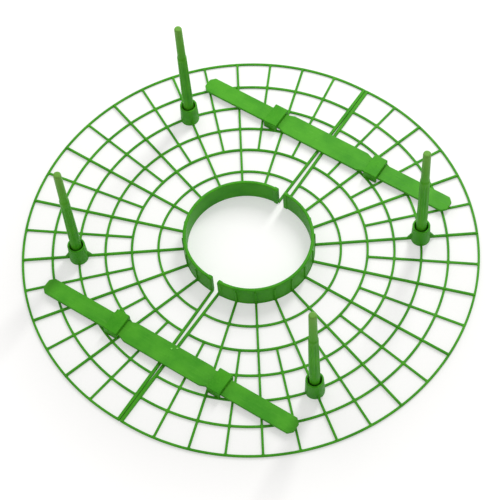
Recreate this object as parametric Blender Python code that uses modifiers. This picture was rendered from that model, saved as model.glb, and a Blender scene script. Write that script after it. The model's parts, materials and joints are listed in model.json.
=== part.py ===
"""Strawberry plant support: two half discs of open mesh, joined by two flat straps, with four legs.

Lengths are in metres. The disc lies on its smooth face, and the collar, sockets, strap loops and
legs stand up from it. The split between the halves runs along Y and the straps run along X.
"""

import math

import bmesh
import bpy
from mathutils import Matrix, Vector

ASSEMBLY_NAME = "strawberry_plant_support"
CUTTER_COLLECTION_NAME = "joining_shapes"

# Each half is centred a little away from the split line, so the split opens towards the collar.
HALF_CENTRE_OFFSET = 0.0033

# Rings and spokes of one half, measured from the half's own centre.
RIM_RADIUS = 0.147
RIM_WIDTH = 0.0015
RIM_HEIGHT = 0.0015
INNER_RING_RADIUS = 0.0573
RING_PITCH = 0.0175
RING_COUNT = 5
RING_WIDTH = 0.00155
RING_HEIGHT = 0.0014
STOP_RING_NUMBER = 1
STOP_RING_HEIGHT = 0.0018
RING_SEGMENTS = 40
SECTOR_COUNT = 20
FULL_SPOKE_WIDTH = 0.00155
FULL_SPOKE_HEIGHT = 0.0019
SHORT_SPOKE_WIDTH = 0.0015
SHORT_SPOKE_HEIGHT = 0.0013

# Split bars, whose gap narrows from the collar and is closed over the last part up to the rim.
SPLIT_GAP_AT_COLLAR = 0.0031
SPLIT_GAP_AT_RIM = 0.0003
SPLIT_CLOSING_DISTANCE = 0.120
SPLIT_BAR_WIDTH_AT_COLLAR = 0.0016
SPLIT_BAR_WIDTH_AT_RIM = 0.00205
SPLIT_BAR_OVERRUN = 0.0003

# Collar around the plant.
COLLAR_OUTER_RADIUS = 0.0402
COLLAR_WALL = 0.0022
COLLAR_HEIGHT = 0.0165
COLLAR_SEGMENTS = 32
COLLAR_RIB_PROUD = 0.0007
COLLAR_RIB_WIDTH = 0.0013
COLLAR_RIB_DROP = 0.0022
END_POST_LENGTH = 0.0032
END_POST_PROUD = 0.0005
END_POST_DROP = 0.0004
END_POST_SETBACK = 0.0007

# Sockets that hold the legs.
SOCKET_RING_NUMBER = 3
SOCKET_SPOKES = (6, 14)
SOCKET_FOOT_RADIUS = 0.0064
SOCKET_RIM_RADIUS = 0.0058
SOCKET_HEIGHT = 0.0157
SOCKET_FLOOR = 0.0020
SOCKET_MOUTH_RADIUS = 0.0046
SOCKET_SEAT_RADIUS = 0.0038
SOCKET_SEGMENTS = 24
GUSSET_REACH = 0.0026
GUSSET_HEIGHT = 0.0085
GUSSET_THICKNESS = 0.0013

# Straps.
STRAP_HALF_LENGTH = 0.0965
STRAP_END_WIDTH = 0.0122
STRAP_MIDDLE_WIDTH = 0.0154
STRAP_SHOULDER_GAP = 0.0015
STRAP_SHOULDER_LENGTH = 0.0042
STRAP_CHAMFER = 0.0030
STRAP_THICKNESS = 0.0020
STRAP_EDGE_ROUNDING = 0.0003
STRAP_SEAT_CLEARANCE = 0.0003

# Loops that guide the straps, two on each half.
LOOP_INNER_X = 0.0348
LOOP_LENGTH = 0.0098
LOOP_RING_NUMBER = 2
LOOP_SIDE_CLEARANCE = 0.0003
LOOP_TOP_CLEARANCE = 0.0004
LOOP_ROOF_THICKNESS = 0.0028
LOOP_CHEEK_BITE = 0.0003
LOOP_CHAMFER = 0.0006

# Legs, measured upwards from the seat at the bottom of the socket.
LEG_CLEARANCE = 0.0003
LEG_LENGTH = 0.0977
LEG_NECK_ABOVE_SOCKET = 0.0012
LEG_NECK_RADIUS = 0.00345
LEG_SWELL_ABOVE_SOCKET = 0.0120
LEG_SWELL_RADIUS = 0.00362
LEG_STEP_FROM_TIP = 0.0300
LEG_STEP_RADIUS = 0.00312
LEG_STEP_DEPTH = 0.00035
LEG_TIP_RADIUS = 0.0025
LEG_TIP_ROUNDING = 0.0009
LEG_TIP_STEPS = 3
LEG_SEGMENTS = 24
FLUTE_COUNT = 8
FLUTE_RADIUS = 0.0009
FLUTE_DEPTH = 0.0004
FLUTE_SIDES = 6
FLUTE_END_MARGIN = 0.0020

MERGE_DISTANCE = 0.00001
CUT_OVERRUN = 0.0005
SHARP_ANGLE = math.radians(35)

MESH_GREEN = (0.060, 0.270, 0.045, 1.0)
STRAP_GREEN = (0.075, 0.330, 0.030, 1.0)
LEG_GREEN = (0.075, 0.290, 0.035, 1.0)
PLASTIC_ROUGHNESS = 0.42


def ring_radius(index):
    return INNER_RING_RADIUS + index * RING_PITCH


def half_span():
    """Half of the angle that one half covers, from its middle to the centre of a split bar."""
    bar_centre = (SPLIT_GAP_AT_RIM + SPLIT_BAR_WIDTH_AT_RIM) / 2
    return math.pi / 2 + math.asin((HALF_CENTRE_OFFSET - bar_centre) / RIM_RADIUS)


def spoke_angle(index):
    """Angle of a spoke about the half's own centre; the first and last are the split bars."""
    return -half_span() + index * 2 * half_span() / SECTOR_COUNT


def ring_height_at(index, world_x):
    """Distance of a ring from the X axis, at a distance from the split line."""
    return math.sqrt(ring_radius(index) ** 2 - (world_x - HALF_CENTRE_OFFSET) ** 2)


def strap_centre():
    """The strap lies midway between two rings, at the middle of its loop."""
    middle = LOOP_INNER_X + LOOP_LENGTH / 2
    return (ring_height_at(LOOP_RING_NUMBER, middle) + ring_height_at(LOOP_RING_NUMBER + 1, middle)) / 2


def strap_bottom():
    return FULL_SPOKE_HEIGHT + STRAP_SEAT_CLEARANCE


def clear_scene():
    for existing in list(bpy.data.objects):
        bpy.data.objects.remove(existing, do_unlink=True)


def make_collection(name):
    collection = bpy.data.collections.new(name)
    bpy.context.scene.collection.children.link(collection)
    return collection


def make_material(name, colour):
    material = bpy.data.materials.new(name)
    material.use_nodes = True
    shader = material.node_tree.nodes["Principled BSDF"]
    shader.inputs["Base Color"].default_value = colour
    shader.inputs["Roughness"].default_value = PLASTIC_ROUGHNESS
    return material


def object_from_shape(name, shape, collection):
    """Turns a bmesh into a named object whose faces point outwards."""
    bmesh.ops.recalc_face_normals(shape, faces=shape.faces)
    mesh = bpy.data.meshes.new(name)
    shape.to_mesh(mesh)
    shape.free()
    made = bpy.data.objects.new(name, mesh)
    collection.objects.link(made)
    return made


def evaluated_mesh(source, name):
    """The source's mesh with its modifiers, or a curve as a mesh with its caps welded."""
    bpy.context.view_layer.update()
    graph = bpy.context.evaluated_depsgraph_get()
    mesh = bpy.data.meshes.new_from_object(source.evaluated_get(graph))
    mesh.name = name
    shape = bmesh.new()
    shape.from_mesh(mesh)
    bmesh.ops.remove_doubles(shape, verts=shape.verts, dist=MERGE_DISTANCE)
    bare_edges = [edge for edge in shape.edges if edge.is_wire]
    bmesh.ops.delete(shape, geom=bare_edges, context="EDGES")
    bmesh.ops.recalc_face_normals(shape, faces=shape.faces)
    shape.to_mesh(mesh)
    shape.free()
    return mesh


def flat_outline(name, points, thickness, collection):
    """A level plate with the given outline, centred on its own thickness."""
    curve = bpy.data.curves.new(name, "CURVE")
    curve.dimensions = "2D"
    curve.fill_mode = "BOTH"
    curve.extrude = thickness / 2
    spline = curve.splines.new("POLY")
    spline.points.add(len(points) - 1)
    for point, (x, y) in zip(spline.points, points):
        point.co = (x, y, 0.0, 1.0)
    spline.use_cyclic_u = True
    outline = bpy.data.objects.new(name, curve)
    collection.objects.link(outline)
    mesh = evaluated_mesh(outline, name)
    bpy.data.objects.remove(outline, do_unlink=True)
    plate = bpy.data.objects.new(name, mesh)
    collection.objects.link(plate)
    return plate


def add_block(shape, low, high, placing):
    """Adds a box between two corners, moved by the placing matrix."""
    low = Vector(low)
    high = Vector(high)
    size = high - low
    middle = Matrix.Translation((low + high) / 2)
    stretch = Matrix.Diagonal((size.x, size.y, size.z, 1.0))
    bmesh.ops.create_cube(shape, size=1.0, matrix=placing @ middle @ stretch)


def add_radial_bar(shape, angle, start, end, width, height):
    """Adds a bar on the ground that runs outwards from the half's own centre."""
    turn = Matrix.Rotation(angle, 4, "Z")
    add_block(shape, (start, -width / 2, 0.0), (end, width / 2, height), turn)


def add_arc_bar(shape, middle_radius, width, height, segments):
    """Sweeps an upright rectangle about Z, from one split bar to the other."""
    stand_up = Matrix.Rotation(math.pi / 2, 4, "X") @ Matrix.Diagonal((width, height, 1.0, 1.0))
    start = Matrix.Rotation(-half_span(), 4, "Z") @ Matrix.Translation((middle_radius, 0.0, height / 2))
    section = bmesh.ops.create_grid(
        shape, x_segments=1, y_segments=1, size=0.5, matrix=start @ stand_up,
    )
    corners = section["verts"]
    faces = list({face for corner in corners for face in corner.link_faces})
    edges = list({edge for corner in corners for edge in corner.link_edges})
    bmesh.ops.spin(
        shape, geom=corners + edges + faces, cent=(0.0, 0.0, 0.0), axis=(0.0, 0.0, 1.0),
        angle=2 * half_span(), steps=segments, use_duplicate=False,
    )


def rings(collection):
    """The rim and the plain rings inside it."""
    shape = bmesh.new()
    add_arc_bar(shape, RIM_RADIUS, RIM_WIDTH, RIM_HEIGHT, RING_SEGMENTS)
    for index in range(RING_COUNT):
        height = STOP_RING_HEIGHT if index == STOP_RING_NUMBER else RING_HEIGHT
        add_arc_bar(shape, ring_radius(index), RING_WIDTH, height, RING_SEGMENTS)
    return object_from_shape("rings", shape, collection)


def full_spokes(collection):
    """Spokes that run from the collar to the rim."""
    start = COLLAR_OUTER_RADIUS - COLLAR_WALL / 2
    shape = bmesh.new()
    for index in range(2, SECTOR_COUNT, 2):
        add_radial_bar(shape, spoke_angle(index), start, RIM_RADIUS, FULL_SPOKE_WIDTH, FULL_SPOKE_HEIGHT)
    return object_from_shape("full_spokes", shape, collection)


def split_bars(collection):
    """The two bars along the split, which run from the collar to the rim."""
    start = COLLAR_OUTER_RADIUS - COLLAR_WALL / 2
    end = RIM_RADIUS + RIM_WIDTH / 2 + SPLIT_BAR_OVERRUN
    inner_face = SPLIT_GAP_AT_COLLAR / 2 - HALF_CENTRE_OFFSET
    outer_face = SPLIT_GAP_AT_RIM / 2 - HALF_CENTRE_OFFSET
    points = [
        (inner_face, start), (inner_face + SPLIT_BAR_WIDTH_AT_COLLAR, start),
        (outer_face + SPLIT_BAR_WIDTH_AT_RIM, end), (outer_face, end),
        (outer_face, SPLIT_CLOSING_DISTANCE),
    ]
    bar = flat_outline("split_bar", points, FULL_SPOKE_HEIGHT, collection)
    shape = bmesh.new()
    for mirror in (1, -1):
        moved = bar.data.copy()
        lift = Matrix.Translation((0.0, 0.0, FULL_SPOKE_HEIGHT / 2))
        moved.transform(lift @ Matrix.Diagonal((1.0, mirror, 1.0, 1.0)))
        shape.from_mesh(moved)
        bpy.data.meshes.remove(moved)
    bpy.data.objects.remove(bar, do_unlink=True)
    return object_from_shape("split_bars", shape, collection)


def short_spokes(collection):
    """Spokes that start at the stop ring and run to the rim."""
    shape = bmesh.new()
    for index in range(1, SECTOR_COUNT, 2):
        add_radial_bar(
            shape, spoke_angle(index), ring_radius(STOP_RING_NUMBER), RIM_RADIUS,
            SHORT_SPOKE_WIDTH, SHORT_SPOKE_HEIGHT,
        )
    return object_from_shape("short_spokes", shape, collection)


def collar_wall(collection):
    shape = bmesh.new()
    add_arc_bar(shape, COLLAR_OUTER_RADIUS - COLLAR_WALL / 2, COLLAR_WALL, COLLAR_HEIGHT, COLLAR_SEGMENTS)
    return object_from_shape("collar_wall", shape, collection)


def collar_ribs(collection):
    """Ribs on the outside of the collar that rise from each full spoke."""
    shape = bmesh.new()
    low = (COLLAR_OUTER_RADIUS - COLLAR_WALL / 2, -COLLAR_RIB_WIDTH / 2, FULL_SPOKE_HEIGHT / 2)
    high = (COLLAR_OUTER_RADIUS + COLLAR_RIB_PROUD, COLLAR_RIB_WIDTH / 2, COLLAR_HEIGHT - COLLAR_RIB_DROP)
    for index in range(2, SECTOR_COUNT, 2):
        add_block(shape, low, high, Matrix.Rotation(spoke_angle(index), 4, "Z"))
    return object_from_shape("collar_ribs", shape, collection)


def end_posts(collection):
    """Thicker ends of the collar wall, one on each side of the split."""
    shape = bmesh.new()
    split_face = SPLIT_GAP_AT_COLLAR / 2 + END_POST_SETBACK - HALF_CENTRE_OFFSET
    inner = COLLAR_OUTER_RADIUS - COLLAR_WALL - END_POST_PROUD
    outer = COLLAR_OUTER_RADIUS + END_POST_PROUD
    low = (split_face, inner, 0.0)
    high = (split_face + END_POST_LENGTH, outer, COLLAR_HEIGHT - END_POST_DROP)
    for mirror in (1, -1):
        add_block(shape, low, high, Matrix.Diagonal((1.0, mirror, 1.0, 1.0)))
    return object_from_shape("end_posts", shape, collection)


def socket_place(spoke):
    """Moves a shape from the origin to a socket, with X along its spoke."""
    turn = Matrix.Rotation(spoke_angle(spoke), 4, "Z")
    return turn @ Matrix.Translation((ring_radius(SOCKET_RING_NUMBER), 0.0, 0.0))


def sockets(collection):
    shape = bmesh.new()
    for spoke in SOCKET_SPOKES:
        bmesh.ops.create_cone(
            shape, cap_ends=True, segments=SOCKET_SEGMENTS,
            radius1=SOCKET_FOOT_RADIUS, radius2=SOCKET_RIM_RADIUS, depth=SOCKET_HEIGHT,
            matrix=socket_place(spoke) @ Matrix.Translation((0.0, 0.0, SOCKET_HEIGHT / 2)),
        )
    return object_from_shape("sockets", shape, collection)


def socket_bores(collection):
    """The tapered bores that the legs drop into, open at the top."""
    taper = (SOCKET_MOUTH_RADIUS - SOCKET_SEAT_RADIUS) / (SOCKET_HEIGHT - SOCKET_FLOOR)
    depth = SOCKET_HEIGHT - SOCKET_FLOOR + CUT_OVERRUN
    shape = bmesh.new()
    for spoke in SOCKET_SPOKES:
        bmesh.ops.create_cone(
            shape, cap_ends=True, segments=SOCKET_SEGMENTS,
            radius1=SOCKET_SEAT_RADIUS, radius2=SOCKET_SEAT_RADIUS + taper * depth, depth=depth,
            matrix=socket_place(spoke) @ Matrix.Translation((0.0, 0.0, SOCKET_FLOOR + depth / 2)),
        )
    return object_from_shape("socket_bores", shape, collection)


def gussets(collection):
    """Sloping fins that rise from the spoke and brace each socket along it, both ways."""
    foot = SOCKET_FOOT_RADIUS + GUSSET_REACH
    top = (SOCKET_RIM_RADIUS + SOCKET_MOUTH_RADIUS) / 2
    root = FULL_SPOKE_HEIGHT / 2
    points = [(-foot, root), (foot, root), (foot, FULL_SPOKE_HEIGHT), (top, GUSSET_HEIGHT)]
    points += [(-top, GUSSET_HEIGHT), (-foot, FULL_SPOKE_HEIGHT)]
    shape = bmesh.new()
    fin = flat_outline("gusset", points, GUSSET_THICKNESS, collection)
    for spoke in SOCKET_SPOKES:
        moved = fin.data.copy()
        moved.transform(socket_place(spoke) @ Matrix.Rotation(math.pi / 2, 4, "X"))
        shape.from_mesh(moved)
        bpy.data.meshes.remove(moved)
    bpy.data.objects.remove(fin, do_unlink=True)
    return object_from_shape("gussets", shape, collection)


def strap_loops(collection):
    """Bridges over the straps: two cheeks that stand on the mesh, and a roof."""
    centre = strap_centre()
    slot_half_width = STRAP_END_WIDTH / 2 + LOOP_SIDE_CLEARANCE
    inner_face = ring_height_at(LOOP_RING_NUMBER, LOOP_INNER_X) - RING_WIDTH / 2
    outer_face = ring_height_at(LOOP_RING_NUMBER + 1, LOOP_INNER_X + LOOP_LENGTH) + LOOP_CHEEK_BITE
    ceiling = strap_bottom() + STRAP_THICKNESS + LOOP_TOP_CLEARANCE
    top = ceiling + LOOP_ROOF_THICKNESS
    points = [
        (inner_face, 0.0), (centre - slot_half_width, 0.0), (centre - slot_half_width, ceiling),
        (centre + slot_half_width, ceiling), (centre + slot_half_width, 0.0), (outer_face, 0.0),
        (outer_face, top - LOOP_CHAMFER), (outer_face - LOOP_CHAMFER, top),
        (inner_face + LOOP_CHAMFER, top), (inner_face, top - LOOP_CHAMFER),
    ]
    bridge = flat_outline("strap_loop", points, LOOP_LENGTH, collection)
    across = Matrix.Rotation(math.pi / 2, 4, "Z") @ Matrix.Rotation(math.pi / 2, 4, "X")
    shift = Matrix.Translation((LOOP_INNER_X + LOOP_LENGTH / 2 - HALF_CENTRE_OFFSET, 0.0, 0.0))
    shape = bmesh.new()
    for mirror in (1, -1):
        moved = bridge.data.copy()
        moved.transform(Matrix.Diagonal((1.0, mirror, 1.0, 1.0)) @ shift @ across)
        shape.from_mesh(moved)
        bpy.data.meshes.remove(moved)
    bpy.data.objects.remove(bridge, do_unlink=True)
    return object_from_shape("strap_loops", shape, collection)


def add_boolean(target, tool, operation):
    tool.hide_render = True
    tool.display_type = "WIRE"
    cut = target.modifiers.new(tool.name, "BOOLEAN")
    cut.operation = operation
    cut.solver = "EXACT"
    cut.object = tool


def half_disc_mesh(tools):
    """One moulding, about its own centre, with its split bars on the side of minus X."""
    body = rings(tools)
    joined = [
        full_spokes, split_bars, short_spokes, collar_wall, collar_ribs, end_posts, sockets, gussets,
        strap_loops,
    ]
    made = [make(tools) for make in joined]
    for tool in made:
        add_boolean(body, tool, "UNION")
    bores = socket_bores(tools)
    add_boolean(body, bores, "DIFFERENCE")
    mesh = evaluated_mesh(body, "half_disc")
    for spent in [body, bores] + made:
        bpy.data.objects.remove(spent, do_unlink=True)
    return mesh


def leg_profile():
    """Radius and height of the leg's outside, from the tip down to its flat foot."""
    seat = SOCKET_FLOOR + LEG_CLEARANCE
    tip = seat + LEG_LENGTH
    step = tip - LEG_STEP_FROM_TIP
    points = [(0.0, tip)]
    for index in range(LEG_TIP_STEPS + 1):
        angle = math.pi / 2 * index / LEG_TIP_STEPS
        radius = LEG_TIP_RADIUS - LEG_TIP_ROUNDING * (1 - math.sin(angle))
        points.append((radius, tip - LEG_TIP_ROUNDING * (1 - math.cos(angle))))
    points.append((LEG_STEP_RADIUS - LEG_STEP_DEPTH, step + LEG_STEP_DEPTH))
    points.append((LEG_STEP_RADIUS, step))
    points.append((LEG_SWELL_RADIUS, SOCKET_HEIGHT + LEG_SWELL_ABOVE_SOCKET))
    points.append((LEG_NECK_RADIUS, SOCKET_HEIGHT + LEG_NECK_ABOVE_SOCKET))
    points.append((SOCKET_SEAT_RADIUS - LEG_CLEARANCE, seat))
    points.append((0.0, seat))
    return points


def turned_leg(collection):
    """The plain leg, turned about Z."""
    shape = bmesh.new()
    corners = [shape.verts.new((radius, 0.0, height)) for radius, height in leg_profile()]
    for upper, lower in zip(corners, corners[1:]):
        shape.edges.new((upper, lower))
    mesh = bpy.data.meshes.new("leg")
    shape.to_mesh(mesh)
    shape.free()
    leg = bpy.data.objects.new("leg", mesh)
    collection.objects.link(leg)
    turn = leg.modifiers.new("turn", "SCREW")
    turn.steps = LEG_SEGMENTS
    turn.render_steps = LEG_SEGMENTS
    turn.use_merge_vertices = True
    turn.merge_threshold = MERGE_DISTANCE
    turn.use_smooth_shade = False
    return leg


def flute_tools(collection):
    """Rods that cut shallow flutes along the lower part of a leg, leaning with its taper."""
    bottom = SOCKET_HEIGHT + LEG_SWELL_ABOVE_SOCKET
    top = SOCKET_FLOOR + LEG_CLEARANCE + LEG_LENGTH - LEG_STEP_FROM_TIP - FLUTE_END_MARGIN
    length = top - bottom
    lean = math.atan((LEG_SWELL_RADIUS - LEG_STEP_RADIUS) / length)
    middle_radius = (LEG_SWELL_RADIUS + LEG_STEP_RADIUS) / 2 + FLUTE_RADIUS - FLUTE_DEPTH
    shape = bmesh.new()
    for index in range(FLUTE_COUNT):
        turn = Matrix.Rotation(2 * math.pi * index / FLUTE_COUNT, 4, "Z")
        place = Matrix.Translation((middle_radius, 0.0, (top + bottom) / 2))
        bmesh.ops.create_cone(
            shape, cap_ends=True, segments=FLUTE_SIDES, radius1=FLUTE_RADIUS, radius2=FLUTE_RADIUS,
            depth=length, matrix=turn @ place @ Matrix.Rotation(-lean, 4, "Y"),
        )
    return object_from_shape("flutes", shape, collection)


def leg_mesh(tools):
    leg = turned_leg(tools)
    flutes = flute_tools(tools)
    add_boolean(leg, flutes, "DIFFERENCE")
    mesh = evaluated_mesh(leg, "leg")
    bpy.data.objects.remove(leg, do_unlink=True)
    bpy.data.objects.remove(flutes, do_unlink=True)
    return mesh


def strap_outline():
    """Outline of a strap: a wide middle with sloping shoulders and cut corners at the ends."""
    shoulder_end = LOOP_INNER_X - STRAP_SHOULDER_GAP
    half_middle = STRAP_MIDDLE_WIDTH / 2
    half_end = STRAP_END_WIDTH / 2
    quarter = [
        (shoulder_end - STRAP_SHOULDER_LENGTH, half_middle),
        (shoulder_end, half_end),
        (STRAP_HALF_LENGTH - STRAP_CHAMFER, half_end),
        (STRAP_HALF_LENGTH, half_end - STRAP_CHAMFER),
    ]
    right = quarter + [(x, -y) for x, y in reversed(quarter)]
    return right + [(-x, -y) for x, y in right]


def strap_mesh(tools):
    plate = flat_outline("strap", strap_outline(), STRAP_THICKNESS, tools)
    rounding = plate.modifiers.new("rounding", "BEVEL")
    rounding.width = STRAP_EDGE_ROUNDING
    rounding.segments = 1
    rounding.limit_method = "ANGLE"
    mesh = evaluated_mesh(plate, "strap")
    bpy.data.objects.remove(plate, do_unlink=True)
    return mesh


def place_piece(name, mesh, material, collection):
    piece = bpy.data.objects.new(name, mesh.copy())
    piece.data.name = name
    piece.data.materials.clear()
    piece.data.materials.append(material)
    piece.data.shade_smooth()
    piece.data.set_sharp_from_angle(angle=SHARP_ANGLE)
    collection.objects.link(piece)
    return piece


def place_half_discs(mesh, collection):
    """Both halves are the same moulding; half A is turned by half a turn."""
    for name, side in (("half_disc_a", -1), ("half_disc_b", 1)):
        material = make_material(f"{name}_green", MESH_GREEN)
        half = place_piece(name, mesh, material, collection)
        half.location = (side * HALF_CENTRE_OFFSET, 0.0, 0.0)
        half.rotation_euler = (0.0, 0.0, 0.0 if side > 0 else math.pi)


def place_straps(mesh, collection):
    height = strap_bottom() + STRAP_THICKNESS / 2
    for name, side in (("strap_front", -1), ("strap_back", 1)):
        material = make_material(f"{name}_green", STRAP_GREEN)
        strap = place_piece(name, mesh, material, collection)
        strap.location = (0.0, side * strap_centre(), height)


def place_legs(mesh, collection):
    """Each leg's origin is on its socket's axis."""
    for half, side in (("a", -1), ("b", 1)):
        for spoke in SOCKET_SPOKES:
            front = (spoke == SOCKET_SPOKES[0]) == (side > 0)
            name = f"leg_{half}_{'front' if front else 'back'}"
            material = make_material(f"{name}_green", LEG_GREEN)
            leg = place_piece(name, mesh, material, collection)
            reach = Vector((ring_radius(SOCKET_RING_NUMBER), 0.0, 0.0))
            reach.rotate(Matrix.Rotation(spoke_angle(spoke), 3, "Z"))
            leg.location = (side * (HALF_CENTRE_OFFSET + reach.x), side * reach.y, 0.0)


def build():
    clear_scene()
    parts = make_collection(ASSEMBLY_NAME)
    tools = make_collection(CUTTER_COLLECTION_NAME)
    place_half_discs(half_disc_mesh(tools), parts)
    place_straps(strap_mesh(tools), parts)
    place_legs(leg_mesh(tools), parts)
    bpy.data.collections.remove(tools)


build()
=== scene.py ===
"""Looks of the strawberry plant support: moulded green plastic on a white table, lit from behind.

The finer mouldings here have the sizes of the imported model, with the rounded edges, filleted cell
corners, smooth curves and fluted legs of the real ones. Lengths are in metres.
"""

import json
import math

import bmesh
import bpy
from mathutils import Matrix, Vector


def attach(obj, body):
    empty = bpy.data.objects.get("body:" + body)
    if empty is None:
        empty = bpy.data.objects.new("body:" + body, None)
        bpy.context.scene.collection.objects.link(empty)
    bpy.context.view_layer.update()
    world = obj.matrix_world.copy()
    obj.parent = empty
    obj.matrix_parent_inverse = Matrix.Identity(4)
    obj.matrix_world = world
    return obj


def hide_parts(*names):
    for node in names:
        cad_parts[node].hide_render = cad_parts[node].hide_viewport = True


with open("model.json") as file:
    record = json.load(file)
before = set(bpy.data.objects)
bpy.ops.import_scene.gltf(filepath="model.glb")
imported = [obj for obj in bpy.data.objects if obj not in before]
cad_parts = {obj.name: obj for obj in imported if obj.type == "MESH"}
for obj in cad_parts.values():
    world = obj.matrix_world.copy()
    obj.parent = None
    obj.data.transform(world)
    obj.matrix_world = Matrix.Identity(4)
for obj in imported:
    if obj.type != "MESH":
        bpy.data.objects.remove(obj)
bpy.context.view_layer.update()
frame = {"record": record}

# Camera, from the crossings of the rings and spokes in the photo.
CAMERA_AZIMUTH = math.radians(37.93)
CAMERA_ELEVATION = math.radians(59.53)
CAMERA_ROLL = math.radians(-5.41)
CAMERA_DISTANCE = 1.0829
CAMERA_TARGET = Vector((0.0018, -0.0020, 0.0012))
CAMERA_LENS = 118.7
SENSOR_WIDTH = 36.0
CAMERA_CLIP_END = 100.0

# Lamps and sky.
KEY_AZIMUTH = math.radians(184.0)
KEY_ELEVATION = math.radians(46.0)
KEY_WIDTH = 0.16
KEY_HEIGHT = 0.50
KEY_POWER = 4.3
FILL_AZIMUTH = math.radians(245.0)
FILL_ELEVATION = math.radians(35.0)
FILL_WIDTH = 0.60
FILL_HEIGHT = 0.40
FILL_POWER = 1.0
LAMP_DISTANCE = 0.9
WORLD_STRENGTH = 0.57
WHITE = (1.0, 1.0, 1.0, 1.0)

# Table, with the lift that the camera and reflections see on it. The lift is partly painted shade and light:
# lower near the object, as a painted shade under the disc, and higher far out, where it paints over shadows.
FLOOR_SIZE = 6.0
FLOOR_ROUGHNESS = 0.8
FLOOR_SPECULAR_LEVEL = 0.2
FLOOR_COLOUR = (0.90, 0.89, 0.88)
FLOOR_SEEN_COLOUR = (0.600, 0.592, 0.580)
# The lower lift near the object is a painted shade under the disc; the higher far lift paints light over the
# shadows there.
FLOOR_LIFT = 0.415
FLOOR_FAR_LIFT = 0.85
FLOOR_NEAR = 0.15
FLOOR_FAR = 0.33
# Painted light inside the collar, which lightens the shade that its wall casts on the table.
HOLE_PAINTED_LIGHT = 0.045
HOLE_PAINTED_LIGHT_NEAR = 0.030
HOLE_PAINTED_LIGHT_FAR = 0.050

# Rings and spokes of one half, measured from the half's own centre.
HALF_CENTRE_OFFSET = 0.0033
RIM_RADIUS = 0.147
RIM_WIDTH = 0.0015
INNER_RING_RADIUS = 0.0573
RING_PITCH = 0.0175
RING_COUNT = 5
RING_WIDTH = 0.00155
RING_HEIGHT = 0.0014
STOP_RING_NUMBER = 1
STOP_RING_HEIGHT = 0.0018
SECTOR_COUNT = 20
FULL_SPOKE_STEP = 2
FULL_SPOKE_WIDTH = 0.00155
FULL_SPOKE_HEIGHT = 0.0019
SHORT_SPOKE_WIDTH = 0.0015
CELL_CORNER = 0.0008
BAR_ROUNDING = 0.00028
RIDGE_ROUNDING = 0.00038
RIDGE_PROUD = 0.00005
RIDGE_ROOT = 0.0007

# Split bars.
SPLIT_GAP_AT_COLLAR = 0.0031
SPLIT_GAP_AT_RIM = 0.0003
SPLIT_CLOSING_DISTANCE = 0.120
SPLIT_BAR_WIDTH_AT_COLLAR = 0.0016
SPLIT_BAR_WIDTH_AT_RIM = 0.00205
SPLIT_END_CORNER = 0.0004

# Collar around the plant.
COLLAR_OUTER_RADIUS = 0.0402
COLLAR_WALL = 0.0022
COLLAR_HEIGHT = 0.0165
COLLAR_LIP_ROUNDING = 0.0006
COLLAR_FOOT_FILLET = 0.0003
COLLAR_RIB_PROUD = 0.0007
COLLAR_RIB_WIDTH = 0.0013
COLLAR_RIB_DROP = 0.0022
COLLAR_RIB_ROUNDING = 0.0003
END_POST_LENGTH = 0.0032
END_POST_PROUD = 0.0005
END_POST_DROP = 0.0004
END_POST_SETBACK = 0.0007
END_POST_CORNER = 0.0008
END_POST_ROUNDING = 0.0004

# Sockets that hold the legs.
SOCKET_RING_NUMBER = 3
SOCKET_SPOKES = (6, 14)
SOCKET_FOOT_RADIUS = 0.0064
SOCKET_RIM_RADIUS = 0.0058
SOCKET_HEIGHT = 0.0157
SOCKET_FLOOR = 0.0020
SOCKET_MOUTH_RADIUS = 0.0046
SOCKET_SEAT_RADIUS = 0.0038
SOCKET_SEGMENTS = 64
SOCKET_ROUNDING = 0.0004
GUSSET_REACH = 0.0026
GUSSET_HEIGHT = 0.0085
GUSSET_THICKNESS = 0.0013
GUSSET_ROUNDING = 0.0003

# Straps.
STRAP_HALF_LENGTH = 0.0965
STRAP_END_WIDTH = 0.0122
STRAP_MIDDLE_WIDTH = 0.0154
STRAP_SHOULDER_GAP = 0.0015
STRAP_SHOULDER_LENGTH = 0.0042
STRAP_CHAMFER = 0.0030
STRAP_THICKNESS = 0.0020
STRAP_EDGE_ROUNDING = 0.00035
STRAP_CORNER = 0.0012
STRAP_SEAT_CLEARANCE = 0.0003
GATE_MARK_PLACES = ((0.0003, 0.0040), (0.0033, 0.0060))
GATE_MARK_RADIUS = 0.0008
GATE_MARK_HEIGHT = 0.00025
GATE_MARK_SEGMENTS = 16

# Loops that guide the straps, two on each half.
LOOP_INNER_X = 0.0348
LOOP_LENGTH = 0.0098
LOOP_RING_NUMBER = 2
LOOP_SIDE_CLEARANCE = 0.0003
LOOP_TOP_CLEARANCE = 0.0004
LOOP_ROOF_THICKNESS = 0.0028
LOOP_CHEEK_BITE = 0.0003
LOOP_CORNER = 0.0007
LOOP_ROUNDING = 0.0004

# Legs, which stand the leg clearance above the socket's floor.
LEG_CLEARANCE = 0.0003
LEG_LENGTH = 0.0977
LEG_NECK_ABOVE_SOCKET = 0.0012
LEG_NECK_RADIUS = 0.00345
LEG_SWELL_ABOVE_SOCKET = 0.0120
LEG_SWELL_RADIUS = 0.00362
LEG_STEP_FROM_TIP = 0.0300
LEG_STEP_RADIUS = 0.00312
LEG_STEP_DEPTH = 0.00035
LEG_TIP_RADIUS = 0.0025
LEG_TIP_ROUNDING = 0.0011
LEG_FOOT_ROUNDING = 0.0003
LEG_SEGMENTS = 96
LEG_ROW_LENGTH = 0.0012
FLUTE_COUNT = 8
FLUTE_DEPTH = 0.0004
FLUTE_FADE = 0.0030
FLUTE_END_MARGIN = 0.0020

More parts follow.
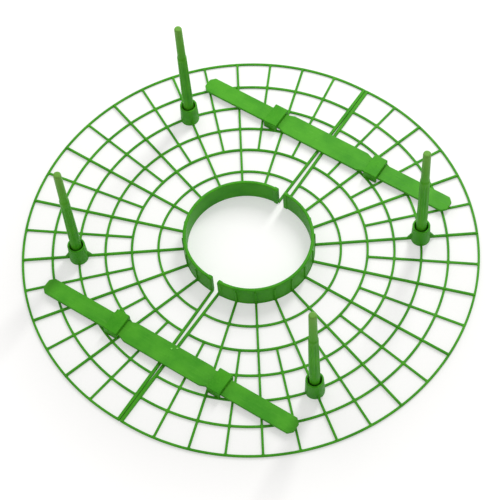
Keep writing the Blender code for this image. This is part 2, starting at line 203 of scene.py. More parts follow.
# Fineness of the mouldings.
ARC_STEP = 0.0026
ARC_LEAST_STEPS = 2
CORNER_STEPS = 3
CORNER_ANGLE = math.radians(25)
CORNER_SIDE_SHARE = 0.45
ROUNDING_STEPS = 1
MERGE_DISTANCE = 0.000001
SHARP_ANGLE = math.radians(50)
GRID_HALF_SIDE = 0.5

# Parts that meet start at different heights, so that their undersides don't share a plane.
FOOT_LIFT = 0.00006

# Plastic: colours, and its clouds, flow streaks, scuffs and grain, in lumps a metre.
# MESH_GREEN and STRAP_GREEN are one plastic; the strap's is lighter and yellower, painted light for its lit
# top.
MESH_GREEN = (0.051, 0.325, 0.009)
STRAP_GREEN = (0.067, 0.358, 0.0165)
LEG_GREEN = (0.054, 0.335, 0.008)
# Painted light and sheen: the legs get paler and greyer towards the tip.
LEG_TIP_PAINTED_LIGHT_GREEN = (0.165, 0.390, 0.060)
LEG_PAINTED_LIGHT_FROM = 0.050
LEG_PAINTED_LIGHT_TO = 0.101
LEG_PAINTED_LIGHT_POWER = 2.0
DARKER = (0.78, 0.88, 0.85)
LIGHTER = (1.22, 1.10, 1.20)
PALER = (2.1, 1.32, 3.2)
LEG_PALER = (2.1, 1.28, 1.8)
# Painted highlight on the gate marks.
GATE_PAINTED_HIGHLIGHT_GREEN = (0.230, 0.640, 0.120)
CLOUD_SCALE = 70.0
CLOUD_DETAIL = 4.0
CLOUD_FROM = 0.35
CLOUD_TO = 0.65
STREAK_SCALE = 850.0
STREAK_DETAIL = 3.0
STREAK_FROM = 0.45
STREAK_TO = 0.75
STREAK_SHARE = 0.30
STRAP_STREAK_SHARE = 0.12
LEG_STREAK_SHARE = 0.60
SCUFF_SCALE = 2300.0
SCUFF_DETAIL = 1.0
SCUFF_FROM = 0.66
SCUFF_TO = 0.76
SCUFF_SHARE = 0.45
WAVE_SCALE = 240.0
WAVE_DETAIL = 2.0
WAVE_DEPTH = 0.00006
GRAIN_SCALE = 1700.0
GRAIN_DETAIL = 2.0
GRAIN_DEPTH = 0.00002
ALONG_STRAP = (0.05, 1.0, 1.0)
ALONG_LEG = (1.0, 1.0, 0.05)
ALL_WAYS = (1.0, 1.0, 1.0)
SMOOTHEST = 0.40
ROUGHEST = 0.60
ROUGH_FROM = 0.3
ROUGH_TO = 0.7
SPECULAR_LEVEL = 0.12

# Places of the colours on a Mix node, and of the shaders on a Mix Shader node.
MIX_FIRST = 6
MIX_SECOND = 7
MIX_RESULT = 2
SHADER_FIRST = 1
SHADER_SECOND = 2


def direction(azimuth, elevation):
    """Unit vector from the object towards a place; azimuth 0 is the side of minus Y."""
    level = math.cos(elevation)
    return Vector((math.sin(azimuth) * level, -math.cos(azimuth) * level, math.sin(elevation)))


def rotation(angle, axis):
    """A turn about an axis, as a matrix that can be joined with moves."""
    return Matrix.Rotation(angle, 4, axis)


def add_camera():
    back = direction(CAMERA_AZIMUTH, CAMERA_ELEVATION)
    right = Vector((math.cos(CAMERA_AZIMUTH), math.sin(CAMERA_AZIMUTH), 0.0))
    turn = Matrix((right, back.cross(right), back)).transposed().to_4x4()
    data = bpy.data.cameras.new("photo_camera")
    data.lens = CAMERA_LENS
    data.sensor_width = SENSOR_WIDTH
    data.clip_end = CAMERA_CLIP_END
    camera = bpy.data.objects.new("photo_camera", data)
    place = Matrix.Translation(CAMERA_TARGET + back * CAMERA_DISTANCE)
    camera.matrix_world = place @ turn @ rotation(CAMERA_ROLL, "Z")
    bpy.context.scene.collection.objects.link(camera)
    bpy.context.scene.camera = camera


def add_lamp(name, towards, width, height, power):
    """A soft box that shines on the object; its width is level."""
    data = bpy.data.lights.new(name, "AREA")
    data.shape = "RECTANGLE"
    data.size = width
    data.size_y = height
    data.energy = power
    lamp = bpy.data.objects.new(name, data)
    lamp.location = towards * LAMP_DISTANCE
    lamp.rotation_mode = "QUATERNION"
    lamp.rotation_quaternion = towards.to_track_quat("Z", "Y")
    bpy.context.scene.collection.objects.link(lamp)


def set_world():
    """An even pale sky, which the camera sees as white."""
    world = bpy.data.worlds.new("studio")
    bpy.context.scene.world = world
    world.use_nodes = True
    tree = world.node_tree
    background = tree.nodes["Background"]
    background.inputs["Color"].default_value = WHITE
    background.inputs["Strength"].default_value = WORLD_STRENGTH
    white = tree.nodes.new("ShaderNodeBackground")
    white.inputs["Color"].default_value = WHITE
    path = tree.nodes.new("ShaderNodeLightPath")
    chosen = tree.nodes.new("ShaderNodeMixShader")
    tree.links.new(path.outputs["Is Camera Ray"], chosen.inputs["Fac"])
    tree.links.new(background.outputs["Background"], chosen.inputs[SHADER_FIRST])
    tree.links.new(white.outputs["Background"], chosen.inputs[SHADER_SECOND])
    tree.links.new(chosen.outputs["Shader"], tree.nodes["World Output"].inputs["Surface"])


def add_floor():
    """A pale table that looks white where nothing shades it.

    Light bounces off it in FLOOR_COLOUR, while the camera sees FLOOR_SEEN_COLOUR. The camera and
    reflections also see a lift, which grows with the distance from the middle of the object and is
    a little more inside the collar. The lift is painted shade and light: lower under the disc, higher
    far out, where it covers shadows, and higher inside the collar, where it lightens the collar's shade.
    """
    bpy.ops.mesh.primitive_plane_add(size=FLOOR_SIZE)
    floor = bpy.context.object
    floor.name = "table"
    material = bpy.data.materials.new("white_table")
    material.use_nodes = True
    tree = material.node_tree
    shader = tree.nodes["Principled BSDF"]
    shader.inputs["Roughness"].default_value = FLOOR_ROUGHNESS
    shader.inputs["Specular IOR Level"].default_value = FLOOR_SPECULAR_LEVEL
    path = tree.nodes.new("ShaderNodeLightPath")
    colour = blended(tree, path.outputs["Is Camera Ray"], FLOOR_COLOUR, FLOOR_SEEN_COLOUR)
    tree.links.new(colour, shader.inputs["Base Color"])
    seen = calculated(tree, "MAXIMUM", path.outputs["Is Camera Ray"], path.outputs["Is Glossy Ray"])
    away = tree.nodes.new("ShaderNodeVectorMath")
    away.operation = "LENGTH"
    tree.links.new(tree.nodes.new("ShaderNodeTexCoord").outputs["Object"], away.inputs[0])
    distance = away.outputs["Value"]
    # Painted shade and light: a lower lift near the object, a higher one far out over its shadows, and more
    # inside the collar.
    lift_with_painted_shade_near = ranged(tree, distance, FLOOR_NEAR, FLOOR_FAR, FLOOR_LIFT, FLOOR_FAR_LIFT)
    # Painted light inside the collar, over the shade of its wall.
    painted_light_in_hole = ranged(tree, distance, HOLE_PAINTED_LIGHT_NEAR, HOLE_PAINTED_LIGHT_FAR, HOLE_PAINTED_LIGHT, 0.0)
    lift = calculated(tree, "MULTIPLY", seen, calculated(tree, "ADD", lift_with_painted_shade_near, painted_light_in_hole))
    shader.inputs["Emission Color"].default_value = WHITE
    tree.links.new(lift, shader.inputs["Emission Strength"])
    floor.data.materials.append(material)


def ring_radius(index):
    return INNER_RING_RADIUS + index * RING_PITCH


def half_span():
    """Half of the angle that one half covers, from its middle to the centre of a split bar."""
    bar_centre = (SPLIT_GAP_AT_RIM + SPLIT_BAR_WIDTH_AT_RIM) / 2
    return math.pi / 2 + math.asin((HALF_CENTRE_OFFSET - bar_centre) / RIM_RADIUS)


def spoke_angle(index):
    """Angle of a spoke about the half's own centre; the first and last are the split bars."""
    return -half_span() + index * 2 * half_span() / SECTOR_COUNT


def ring_height_at(index, world_x):
    """Distance of a ring from the X axis, at a distance from the split line."""
    return math.sqrt(ring_radius(index) ** 2 - (world_x - HALF_CENTRE_OFFSET) ** 2)


def strap_centre():
    """The strap lies midway between two rings, at the middle of its loop."""
    middle = LOOP_INNER_X + LOOP_LENGTH / 2
    return (ring_height_at(LOOP_RING_NUMBER, middle) + ring_height_at(LOOP_RING_NUMBER + 1, middle)) / 2


def strap_bottom():
    return FULL_SPOKE_HEIGHT + STRAP_SEAT_CLEARANCE


def arc(radius, start, end):
    """Points along a circle about the half's centre, both ends included."""
    steps = max(ARC_LEAST_STEPS, round(radius * abs(end - start) / ARC_STEP))
    angles = [start + (end - start) * index / steps for index in range(steps + 1)]
    return [(radius * math.cos(angle), radius * math.sin(angle)) for angle in angles]


def softened(points, radius, closed=True):
    """Rounds each sharp corner of an outline and leaves the points of its arcs as they are."""
    rounded = []
    last = len(points) - 1
    for index, point in enumerate(points):
        corner = Vector(point)
        before = Vector(points[index - 1]) - corner
        after = Vector(points[(index + 1) % len(points)]) - corner
        turning = math.pi - before.angle(after)
        if turning < CORNER_ANGLE or (not closed and index in (0, last)):
            rounded.append(tuple(corner))
            continue
        longest = min(before.length, after.length) * CORNER_SIDE_SHARE
        reach = min(radius * math.tan(turning / 2), longest)
        start = corner + before.normalized() * reach
        end = corner + after.normalized() * reach
        for step in range(CORNER_STEPS + 1):
            share = step / CORNER_STEPS
            rounded.append(tuple(start.lerp(corner, share).lerp(corner.lerp(end, share), share)))
    return rounded


def mesh_of(source):
    """The source's final mesh, welded, with its faces pointing outwards; the source goes."""
    bpy.context.view_layer.update()
    graph = bpy.context.evaluated_depsgraph_get()
    mesh = bpy.data.meshes.new_from_object(source.evaluated_get(graph))
    bpy.data.objects.remove(source, do_unlink=True)
    shape = bmesh.new()
    shape.from_mesh(mesh)
    write_welded(shape, mesh)
    return mesh


def weld(shape):
    """Merges doubled corners, drops bare edges and turns the faces outwards."""
    bmesh.ops.remove_doubles(shape, verts=shape.verts, dist=MERGE_DISTANCE)
    bare_edges = [edge for edge in shape.edges if edge.is_wire]
    bmesh.ops.delete(shape, geom=bare_edges, context="EDGES")
    bmesh.ops.recalc_face_normals(shape, faces=shape.faces)


def write_welded(shape, mesh):
    """Welds the shape, writes it into the mesh and frees it."""
    weld(shape)
    shape.to_mesh(mesh)
    shape.free()


def welded_mesh(shape, name):
    mesh = bpy.data.meshes.new(name)
    write_welded(shape, mesh)
    return mesh


def refill_flat_sides(mesh, level):
    """Fills a plate's flat sides, beyond the level, again, with triangles that use every corner."""
    shape = bmesh.new()
    shape.from_mesh(mesh)
    filling = [face for face in shape.faces if all(abs(corner.co.z) > level for corner in face.verts)]
    bmesh.ops.delete(shape, geom=filling, context="FACES")
    filled = bmesh.ops.holes_fill(shape, edges=shape.edges, sides=0)
    bmesh.ops.triangulate(shape, faces=filled["faces"])
    write_welded(shape, mesh)


def show(name, data):
    """Links a new object that holds the data."""
    shown = bpy.data.objects.new(name, data)
    bpy.context.scene.collection.objects.link(shown)
    return shown


def plate(outlines, bottom, top, rounding, holes=()):
    """Level plates with rounded edges. Outlines run anticlockwise and holes clockwise."""
    curve = bpy.data.curves.new("plate", "CURVE")
    curve.dimensions = "2D"
    curve.fill_mode = "BOTH"
    curve.extrude = (top - bottom) / 2 - rounding
    curve.bevel_depth = rounding
    curve.bevel_resolution = ROUNDING_STEPS
    curve.offset = -rounding
    for points in list(outlines) + list(holes):
        spline = curve.splines.new("POLY")
        spline.points.add(len(points) - 1)
        for point, (x, y) in zip(spline.points, points):
            point.co = (x, y, 0.0, 1.0)
        spline.use_cyclic_u = True
    mesh = mesh_of(show("plate", curve))
    if not holes:
        refill_flat_sides(mesh, (top - bottom) / 2 - MERGE_DISTANCE)
    mesh.transform(Matrix.Translation((0.0, 0.0, (bottom + top) / 2)))
    return mesh


def turned(profile, segments):
    """Spins a profile of radius and height about Z into a closed mesh."""
    shape = bmesh.new()
    corners = [shape.verts.new((radius, 0.0, height)) for radius, height in profile]
    edges = [shape.edges.new(pair) for pair in zip(corners, corners[1:])]
    bmesh.ops.spin(
        shape, geom=corners + edges, cent=(0.0, 0.0, 0.0), axis=(0.0, 0.0, 1.0),
        angle=2 * math.pi, steps=segments, use_duplicate=False,
    )
    return welded_mesh(shape, "turned")


def gathered(meshes):
    """One mesh from several that don't touch each other."""
    shape = bmesh.new()
    for mesh in meshes:
        shape.from_mesh(mesh)
        bpy.data.meshes.remove(mesh)
    return welded_mesh(shape, "gathered")


def moved_copy(mesh, place):
    copy = mesh.copy()
    copy.transform(place)
    return copy


def united(body, additions):
    """Joins closed meshes that overlap into one closed mesh."""
    whole = show("body", body)
    tools = [show("addition", mesh) for mesh in additions]
    for tool in tools:
        join = whole.modifiers.new("join", "BOOLEAN")
        join.operation = "UNION"
        join.solver = "EXACT"
        join.object = tool
    mesh = mesh_of(whole)
    for tool in tools:
        bpy.data.objects.remove(tool, do_unlink=True)
    return mesh


def split_faces():
    """Distances of the split bar's gap face from the half's centre line, at the collar and the rim."""
    return SPLIT_GAP_AT_COLLAR / 2 - HALF_CENTRE_OFFSET, SPLIT_GAP_AT_RIM / 2 - HALF_CENTRE_OFFSET


def collar_middle():
    return COLLAR_OUTER_RADIUS - COLLAR_WALL / 2


def split_side_angle(radius):
    """Polar angle at which the mesh side of the upper split bar crosses a circle."""
    at_collar, at_rim = split_faces()
    near = Vector((at_collar + SPLIT_BAR_WIDTH_AT_COLLAR - RIDGE_PROUD, collar_middle()))
    far = Vector((at_rim + SPLIT_BAR_WIDTH_AT_RIM - RIDGE_PROUD, RIM_RADIUS + RIM_WIDTH / 2))
    slope = (far.x - near.x) / (far.y - near.y)
    base = near.x - slope * near.y
    square = 1 + slope ** 2
    root = math.sqrt((slope * base) ** 2 - square * (base ** 2 - radius ** 2))
    height = (root - slope * base) / square
    return math.atan2(height, base + slope * height)


def ring_side(index, side):
    """Radius of the inner or outer side of a ring, which lies inside its ridge if it has one."""
    margin = RIDGE_PROUD if index == STOP_RING_NUMBER else 0.0
    return ring_radius(index) + side * (RING_WIDTH / 2 - margin)


def side_angle(index, side, radius):
    """Polar angle at which one side of a spoke crosses a circle."""
    if index in (0, SECTOR_COUNT):
        return split_side_angle(radius) * (1 if index else -1)
    width = SHORT_SPOKE_WIDTH if index % FULL_SPOKE_STEP else FULL_SPOKE_WIDTH - 2 * RIDGE_PROUD
    return spoke_angle(index) + side * math.asin(width / 2 / radius)


def cell(inner, outer, first, last):
    """One opening between two rings and two spokes, clockwise, with rounded corners."""
    points = arc(inner, side_angle(first, 1, inner), side_angle(last, -1, inner))
    points += arc(outer, side_angle(last, -1, outer), side_angle(first, 1, outer))
    return softened(points, CELL_CORNER)


def cells():
    """All openings of one half; the short spokes divide those outside the stop ring."""
    found = []
    inner = COLLAR_OUTER_RADIUS + COLLAR_FOOT_FILLET
    for ring in range(RING_COUNT + 1):
        outer = RIM_RADIUS - RIM_WIDTH / 2 if ring == RING_COUNT else ring_side(ring, -1)
        step = 1 if ring > STOP_RING_NUMBER else FULL_SPOKE_STEP
        for first in range(0, SECTOR_COUNT, step):
            found.append(cell(inner, outer, first, first + step))
        inner = ring_side(ring, 1)
    return found


def mirrored(points):
    """An outline on the other side of the X axis, which still runs the same way round."""
    return [(x, -y) for x, y in reversed(points)]


def split_edge():
    """The upper part of the gap side of the half's outline, from the rim in to the collar."""
    at_collar, at_rim = (face + RIDGE_PROUD for face in split_faces())
    outer = RIM_RADIUS + RIM_WIDTH / 2
    return [
        (at_rim, math.sqrt(outer ** 2 - at_rim ** 2)),
        (at_rim, SPLIT_CLOSING_DISTANCE),
        (at_collar, collar_middle()),
    ]


def mesh_plate():
    """The flat net of rings and spokes, as one plate with openings."""
    at_collar, at_rim = (face + RIDGE_PROUD for face in split_faces())
    outer = RIM_RADIUS + RIM_WIDTH / 2
    rim_end = math.acos(at_rim / outer)
    collar_end = math.atan2(collar_middle(), at_collar)
    outline = arc(outer, -rim_end, rim_end)[1:-1] + split_edge()
    outline += arc(math.hypot(at_collar, collar_middle()), collar_end, -collar_end)[1:-1]
    outline += mirrored(split_edge())
    return plate([softened(outline, SPLIT_END_CORNER)], 0.0, RING_HEIGHT, BAR_ROUNDING, cells())


def turned_outline(points, angle):
    turn = Matrix.Rotation(angle, 2)
    return [tuple(turn @ Vector(point)) for point in points]


def bars_on_full_spokes(start, end, width):
    """Outlines of a bar on each full spoke, between two distances from the half's centre."""
    half_width = width / 2
    bar = [(start, -half_width), (end, -half_width), (end, half_width), (start, half_width)]
    full_spokes = range(FULL_SPOKE_STEP, SECTOR_COUNT, FULL_SPOKE_STEP)
    return [turned_outline(bar, spoke_angle(index)) for index in full_spokes]


def spoke_ridges():
    """The raised tops of the full spokes and the split bars."""
    start = collar_middle()
    end = RIM_RADIUS + RIM_WIDTH / 2 - BAR_ROUNDING
    outlines = bars_on_full_spokes(start, end, FULL_SPOKE_WIDTH)
    at_collar, at_rim = split_faces()
    upper = [
        (at_collar, start), (at_collar + SPLIT_BAR_WIDTH_AT_COLLAR, start),
        (at_rim + SPLIT_BAR_WIDTH_AT_RIM, end), (at_rim, end), (at_rim, SPLIT_CLOSING_DISTANCE),
    ]
    outlines += [upper, mirrored(upper)]
    return plate(outlines, RIDGE_ROOT, FULL_SPOKE_HEIGHT, RIDGE_ROUNDING)


def band(inner, outer):
    """Outline of a strip between two circles, from split bar to split bar."""
    return arc(outer, -half_span(), half_span()) + arc(inner, half_span(), -half_span())


def stop_ridge():
    middle = ring_radius(STOP_RING_NUMBER)
    outline = band(middle - RING_WIDTH / 2, middle + RING_WIDTH / 2)
    return plate([outline], RIDGE_ROOT - FOOT_LIFT, STOP_RING_HEIGHT, RIDGE_ROUNDING)


def collar_wall():
    outline = band(COLLAR_OUTER_RADIUS - COLLAR_WALL, COLLAR_OUTER_RADIUS)
    return plate([outline], FOOT_LIFT, COLLAR_HEIGHT, COLLAR_LIP_ROUNDING)


def collar_ribs():
    """Ribs on the outside of the collar that rise from each full spoke."""
    end = COLLAR_OUTER_RADIUS + COLLAR_RIB_PROUD
    outlines = bars_on_full_spokes(collar_middle(), end, COLLAR_RIB_WIDTH)
    return plate(outlines, RIDGE_ROOT + FOOT_LIFT, COLLAR_HEIGHT - COLLAR_RIB_DROP, COLLAR_RIB_ROUNDING)


def end_posts():
    """Thicker ends of the collar wall, one on each side of the split."""
    start = split_faces()[0] + END_POST_SETBACK
    end = start + END_POST_LENGTH
    inner = COLLAR_OUTER_RADIUS - COLLAR_WALL - END_POST_PROUD
    outer = COLLAR_OUTER_RADIUS + END_POST_PROUD
    post = softened([(start, inner), (end, inner), (end, outer), (start, outer)], END_POST_CORNER)
    outlines = [post, mirrored(post)]
    return plate(outlines, 2 * FOOT_LIFT, COLLAR_HEIGHT - END_POST_DROP, END_POST_ROUNDING)


def socket_place(spoke):
    """Moves a shape from the origin to a socket, with X along its spoke."""
    return rotation(spoke_angle(spoke), "Z") @ Matrix.Translation((ring_radius(SOCKET_RING_NUMBER), 0.0, 0.0))


def sockets():
    """Round sockets with rounded rims and tapered bores."""
    profile = [
        (0.0, FOOT_LIFT), (SOCKET_FOOT_RADIUS, FOOT_LIFT), (SOCKET_RIM_RADIUS, SOCKET_HEIGHT),
        (SOCKET_MOUTH_RADIUS, SOCKET_HEIGHT), (SOCKET_SEAT_RADIUS, SOCKET_FLOOR), (0.0, SOCKET_FLOOR),
    ]
    socket = turned(softened(profile, SOCKET_ROUNDING, closed=False), SOCKET_SEGMENTS)
    placed = [moved_copy(socket, socket_place(spoke)) for spoke in SOCKET_SPOKES]
    bpy.data.meshes.remove(socket)
    return placed


def gussets():
    """Sloping fins that rise from the spoke and brace each socket along it, both ways."""
    root = RIDGE_ROOT + 2 * FOOT_LIFT
    foot = SOCKET_FOOT_RADIUS + GUSSET_REACH
    start = (SOCKET_RIM_RADIUS + SOCKET_MOUTH_RADIUS) / 2
    outline = [(start, root), (foot, root), (foot, FULL_SPOKE_HEIGHT), (start, GUSSET_HEIGHT)]
    fin = plate([outline], -GUSSET_THICKNESS / 2, GUSSET_THICKNESS / 2, GUSSET_ROUNDING)
    fin.transform(rotation(math.pi / 2, "X"))
    placed = []
    for spoke in SOCKET_SPOKES:
        for turn in (0.0, math.pi):
            place = socket_place(spoke) @ rotation(turn, "Z")
            placed.append(moved_copy(fin, place))
    bpy.data.meshes.remove(fin)
    return placed


def strap_loops():
    """Bridges over the straps: two cheeks that stand on the mesh, and a roof."""
    centre = strap_centre()
    slot_half_width = STRAP_END_WIDTH / 2 + LOOP_SIDE_CLEARANCE
    inner_face = ring_height_at(LOOP_RING_NUMBER, LOOP_INNER_X) - RING_WIDTH / 2
    outer_face = ring_height_at(LOOP_RING_NUMBER + 1, LOOP_INNER_X + LOOP_LENGTH) + LOOP_CHEEK_BITE
    ceiling = strap_bottom() + STRAP_THICKNESS + LOOP_TOP_CLEARANCE
    top = ceiling + LOOP_ROOF_THICKNESS
    low = FOOT_LIFT
    points = [
        (centre - slot_half_width, low), (centre - slot_half_width, ceiling),
        (centre + slot_half_width, ceiling), (centre + slot_half_width, low), (outer_face, low),
        (outer_face, top), (inner_face, top), (inner_face, low),
    ]
    bridge = plate([softened(points, LOOP_CORNER)], -LOOP_LENGTH / 2, LOOP_LENGTH / 2, LOOP_ROUNDING)
    across = rotation(math.pi / 2, "Z") @ rotation(math.pi / 2, "X")
    shift = Matrix.Translation((LOOP_INNER_X + LOOP_LENGTH / 2 - HALF_CENTRE_OFFSET, 0.0, 0.0))
    bridge.transform(shift @ across)
    placed = [moved_copy(bridge, Matrix.Diagonal((1.0, mirror, 1.0, 1.0))) for mirror in (1, -1)]
    bpy.data.meshes.remove(bridge)
    return placed


def half_disc():
    """One moulding, about its own centre, with its split bars on the side of minus X."""
    standing = gathered([collar_wall()] + sockets() + strap_loops())
    added = gathered([collar_ribs(), end_posts()] + gussets())
    return united(mesh_plate(), [spoke_ridges(), stop_ridge(), standing, added])


def strap_outline():
    """Outline of a strap: a wide middle with sloping shoulders and cut corners at the ends."""
    shoulder_end = LOOP_INNER_X - STRAP_SHOULDER_GAP
    half_middle = STRAP_MIDDLE_WIDTH / 2
    half_end = STRAP_END_WIDTH / 2
    quarter = [
        (shoulder_end - STRAP_SHOULDER_LENGTH, -half_middle),
        (shoulder_end, -half_end),
        (STRAP_HALF_LENGTH - STRAP_CHAMFER, -half_end),
        (STRAP_HALF_LENGTH, -half_end + STRAP_CHAMFER),
    ]
    right = quarter + mirrored(quarter)
    return softened(right + [(-x, -y) for x, y in right], STRAP_CORNER)


def gate_marks():
    """The two small stubs that the moulding gates leave on a strap."""
    top = STRAP_THICKNESS / 2 + GATE_MARK_HEIGHT
    profile = [(0.0, 0.0), (GATE_MARK_RADIUS, 0.0), (GATE_MARK_RADIUS, top), (0.0, top)]
    stub = turned(softened(profile, GATE_MARK_HEIGHT, closed=False), GATE_MARK_SEGMENTS)
    placed = [moved_copy(stub, Matrix.Translation((x, y, 0.0))) for x, y in GATE_MARK_PLACES]
    bpy.data.meshes.remove(stub)
    return placed


def strap():
    body = plate([strap_outline()], -STRAP_THICKNESS / 2, STRAP_THICKNESS / 2, STRAP_EDGE_ROUNDING)
    return united(body, [gathered(gate_marks())])


def leg_profile():
    """Radius and height of the leg's outside, from the foot up to the tip."""
    seat = SOCKET_FLOOR + LEG_CLEARANCE
    tip = seat + LEG_LENGTH
    step = tip - LEG_STEP_FROM_TIP
    neck = SOCKET_HEIGHT + LEG_NECK_ABOVE_SOCKET
    swell = SOCKET_HEIGHT + LEG_SWELL_ABOVE_SOCKET
    foot_radius = SOCKET_SEAT_RADIUS - LEG_CLEARANCE
    foot = [(0.0, seat), (foot_radius, seat), (LEG_NECK_RADIUS, neck)]
    points = softened(foot, LEG_FOOT_ROUNDING, closed=False)
    points += [(LEG_SWELL_RADIUS, swell), (LEG_STEP_RADIUS, step)]
    end = [(LEG_STEP_RADIUS - LEG_STEP_DEPTH, step + LEG_STEP_DEPTH), (LEG_TIP_RADIUS, tip), (0.0, tip)]
    return points + softened(end, LEG_TIP_ROUNDING, closed=False)


def divided(points):
    """The same line with a point at least every row length."""
    fine = [points[0]]
    for start, end in zip(points, points[1:]):
        start = Vector(start)
        end = Vector(end)
        steps = max(1, math.ceil((end - start).length / LEG_ROW_LENGTH))
        fine += [tuple(start.lerp(end, index / steps)) for index in range(1, steps + 1)]
    return fine


def flute_strength(height):
    """How deep the flutes are at a height: none at their ends, smoothly up to full between them."""
    bottom = SOCKET_HEIGHT + LEG_SWELL_ABOVE_SOCKET
    top = SOCKET_FLOOR + LEG_CLEARANCE + LEG_LENGTH - LEG_STEP_FROM_TIP - FLUTE_END_MARGIN
    inside = min(height - bottom, top - height) / FLUTE_FADE
    share = min(max(inside, 0.0), 1.0)
    return share * share * (3 - 2 * share)


def leg():
    """A turned leg whose middle part has shallow flutes that fade out at both ends."""
    profile = divided(leg_profile())
    rows = len(profile) - 1
    shape = bmesh.new()
    bmesh.ops.create_grid(shape, x_segments=LEG_SEGMENTS, y_segments=rows, size=GRID_HALF_SIDE)
    for corner in shape.verts:
        angle = 2 * math.pi * (corner.co.x + GRID_HALF_SIDE)
        radius, height = profile[round((corner.co.y + GRID_HALF_SIDE) * rows)]
        groove = max(0.0, math.cos(FLUTE_COUNT * angle)) * FLUTE_DEPTH * flute_strength(height)
        corner.co = ((radius - groove) * math.cos(angle), (radius - groove) * math.sin(angle), height)
    return welded_mesh(shape, "leg")


def body_of(node):
    """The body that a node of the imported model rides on."""
    bodies = frame["record"]["behaviour"]["bodies"]
    return next(body for body, nodes in bodies.items() if node in nodes)


def place_piece(node, mesh, place, material):
    """Puts a moulding where its node is, and hides the node."""
    data = moved_copy(mesh, place)
    data.materials.clear()
    data.materials.append(material)
    data.shade_smooth()
    data.set_sharp_from_angle(angle=SHARP_ANGLE)
    piece = show(f"moulded_{node}", data)
    shading = piece.modifiers.new("even_shading", "WEIGHTED_NORMAL")
    shading.keep_sharp = True
    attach(piece, body_of(node))
    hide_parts(node)


def noise(tree, place, scale, detail, stretch=ALL_WAYS):
    """Noise of a scale in lumps a metre, drawn out along an axis by a small stretch there."""
    mapping = tree.nodes.new("ShaderNodeMapping")
    mapping.inputs["Scale"].default_value = [scale * share for share in stretch]
    tree.links.new(place, mapping.inputs["Vector"])
    texture = tree.nodes.new("ShaderNodeTexNoise")
    texture.inputs["Scale"].default_value = 1.0
    texture.inputs["Detail"].default_value = detail
    tree.links.new(mapping.outputs["Vector"], texture.inputs["Vector"])
    return texture.outputs["Fac"]


def ranged(tree, value, start, end, low=0.0, high=1.0):
    """Maps the stretch from start to end onto low to high, and holds it there outside."""
    scale = tree.nodes.new("ShaderNodeMapRange")
    tree.links.new(value, scale.inputs["Value"])
    scale.inputs["From Min"].default_value = start
    scale.inputs["From Max"].default_value = end
    scale.inputs["To Min"].default_value = low
    scale.inputs["To Max"].default_value = high
    return scale.outputs["Result"]


def calculated(tree, operation, first, second):
    """The result of a calculation with two sockets, or with a socket and a number."""
    calculation = tree.nodes.new("ShaderNodeMath")
    calculation.operation = operation
    tree.links.new(first, calculation.inputs[0])
    if isinstance(second, bpy.types.NodeSocket):
        tree.links.new(second, calculation.inputs[1])
    else:
        calculation.inputs[1].default_value = second
    return calculation.outputs["Value"]


def blended(tree, share, first, second):
    """Mixes a colour socket or a fixed colour with a fixed one."""
    mix = tree.nodes.new("ShaderNodeMix")
    mix.data_type = "RGBA"
    tree.links.new(share, mix.inputs["Factor"])
    if isinstance(first, bpy.types.NodeSocket):
        tree.links.new(first, mix.inputs[MIX_FIRST])
    else:
        mix.inputs[MIX_FIRST].default_value = (*first, 1.0)
    mix.inputs[MIX_SECOND].default_value = (*second, 1.0)
    return mix.outputs[MIX_RESULT]


def add_bump(tree, height, depth):
    bump = tree.nodes.new("ShaderNodeBump")
    bump.inputs["Distance"].default_value = depth
    tree.links.new(height, bump.inputs["Height"])
    return bump


def tinted(colour, shares):
    return tuple(value * share for value, share in zip(colour, shares))


def moulded_plastic(name, colour, flow, streak_share=STREAK_SHARE, paler_shares=PALER):
    """Satin plastic whose colour is cloudy, with streaks and scuffs drawn out along its flow."""
    material = bpy.data.materials.new(name)
    material.use_nodes = True
    tree = material.node_tree
    shader = tree.nodes["Principled BSDF"]
    shader.inputs["Specular IOR Level"].default_value = SPECULAR_LEVEL
    place = tree.nodes.new("ShaderNodeTexCoord").outputs["Object"]
    clouds = noise(tree, place, CLOUD_SCALE, CLOUD_DETAIL)
    streaks = noise(tree, place, STREAK_SCALE, STREAK_DETAIL, flow)
    scuffs = noise(tree, place, SCUFF_SCALE, SCUFF_DETAIL, flow)
    cloud_share = ranged(tree, clouds, CLOUD_FROM, CLOUD_TO)
    cloudy = blended(tree, cloud_share, tinted(colour, DARKER), tinted(colour, LIGHTER))
    paler = tinted(colour, paler_shares)
    share = ranged(tree, streaks, STREAK_FROM, STREAK_TO, 0.0, streak_share)
    streaky = blended(tree, share, cloudy, paler)
    scuff_share = ranged(tree, scuffs, SCUFF_FROM, SCUFF_TO, 0.0, SCUFF_SHARE)
    scuffed = blended(tree, scuff_share, streaky, paler)
    tree.links.new(scuffed, shader.inputs["Base Color"])
    rough = ranged(tree, streaks, ROUGH_FROM, ROUGH_TO, SMOOTHEST, ROUGHEST)
    tree.links.new(rough, shader.inputs["Roughness"])
    waves = add_bump(tree, noise(tree, place, WAVE_SCALE, WAVE_DETAIL), WAVE_DEPTH)
    grain = add_bump(tree, noise(tree, place, GRAIN_SCALE, GRAIN_DETAIL), GRAIN_DEPTH)
    tree.links.new(waves.outputs["Normal"], grain.inputs["Normal"])
    tree.links.new(grain.outputs["Normal"], shader.inputs["Normal"])
    return material


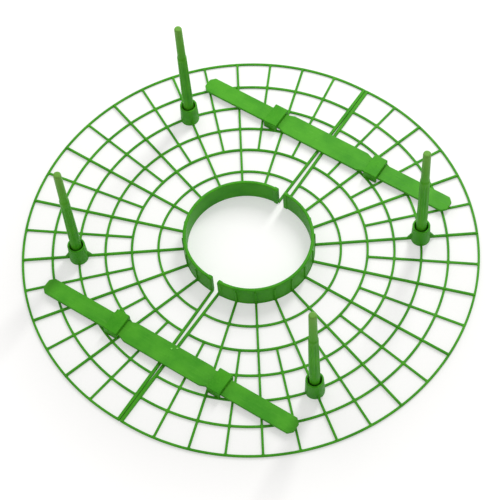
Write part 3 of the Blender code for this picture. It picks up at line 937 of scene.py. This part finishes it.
def strap_plastic():
    """The strap's plastic, with a painted highlight where the moulding gates were cut off the front strap."""
    material = moulded_plastic("strap_green_plastic", STRAP_GREEN, ALONG_STRAP, STRAP_STREAK_SHARE)
    tree = material.node_tree
    base = tree.nodes["Principled BSDF"].inputs["Base Color"]
    place = tree.nodes.new("ShaderNodeTexCoord").outputs["Object"]
    top = strap_bottom() + STRAP_THICKNESS + GATE_MARK_HEIGHT
    # Painted highlight: a pale spot on each gate mark.
    for x, y in GATE_MARK_PLACES:
        away = tree.nodes.new("ShaderNodeVectorMath")
        away.operation = "DISTANCE"
        away.inputs[1].default_value = (x, y - strap_centre(), top)
        tree.links.new(place, away.inputs[0])
        share = ranged(tree, away.outputs["Value"], GATE_MARK_RADIUS / 2, GATE_MARK_RADIUS, 1.0, 0.0)
        painted_gate_highlight = blended(tree, share, base.links[0].from_socket, GATE_PAINTED_HIGHLIGHT_GREEN)
        tree.links.new(painted_gate_highlight, base)
    return material


def leg_plastic():
    """The leg's plastic, with painted light and sheen that make it paler towards the tip."""
    material = moulded_plastic("leg_green_plastic", LEG_GREEN, ALONG_LEG, LEG_STREAK_SHARE, LEG_PALER)
    tree = material.node_tree
    base = tree.nodes["Principled BSDF"].inputs["Base Color"]
    axes = tree.nodes.new("ShaderNodeSeparateXYZ")
    place = tree.nodes.new("ShaderNodeTexCoord").outputs["Object"]
    tree.links.new(place, axes.inputs["Vector"])
    # Painted light and sheen, paler towards the tip.
    height = ranged(tree, axes.outputs["Z"], LEG_PAINTED_LIGHT_FROM, LEG_PAINTED_LIGHT_TO)
    share = calculated(tree, "POWER", height, LEG_PAINTED_LIGHT_POWER)
    paler = blended(tree, share, base.links[0].from_socket, LEG_TIP_PAINTED_LIGHT_GREEN)
    tree.links.new(paler, base)
    return material


def place_half_discs():
    """Both halves are the same moulding; half A is turned by half a turn."""
    mesh = half_disc()
    material = moulded_plastic("mesh_green_plastic", MESH_GREEN, ALL_WAYS)
    shift = Matrix.Translation((HALF_CENTRE_OFFSET, 0.0, 0.0))
    place_piece("half_disc_b", mesh, shift, material)
    place_piece("half_disc_a", mesh, rotation(math.pi, "Z") @ shift, material)


def place_straps():
    """The back strap is the same moulding turned over, so its gate marks are underneath."""
    mesh = strap()
    material = strap_plastic()
    height = strap_bottom() + STRAP_THICKNESS / 2
    front = Matrix.Translation((0.0, -strap_centre(), height))
    back = Matrix.Translation((0.0, strap_centre(), height)) @ rotation(math.pi, "X")
    place_piece("strap_front", mesh, front, material)
    place_piece("strap_back", mesh, back, material)


def place_legs():
    """One leg in each socket; half A is turned, so the spoke at the front of B is at the back of A."""
    mesh = leg()
    material = leg_plastic()
    for half, side in (("a", -1), ("b", 1)):
        for spoke in SOCKET_SPOKES:
            front = (spoke == SOCKET_SPOKES[0]) == (side > 0)
            node = f"leg_{half}_{'front' if front else 'back'}"
            reach = socket_place(spoke).translation
            x = side * (HALF_CENTRE_OFFSET + reach.x)
            place_piece(node, mesh, Matrix.Translation((x, side * reach.y, 0.0)), material)


def build():
    add_camera()
    add_lamp("key_box", direction(KEY_AZIMUTH, KEY_ELEVATION), KEY_WIDTH, KEY_HEIGHT, KEY_POWER)
    add_lamp("fill_box", direction(FILL_AZIMUTH, FILL_ELEVATION), FILL_WIDTH, FILL_HEIGHT, FILL_POWER)
    set_world()
    add_floor()
    place_half_discs()
    place_straps()
    place_legs()
    bpy.context.scene.view_settings.view_transform = "Standard"


build()
bpy.context.view_layer.update()
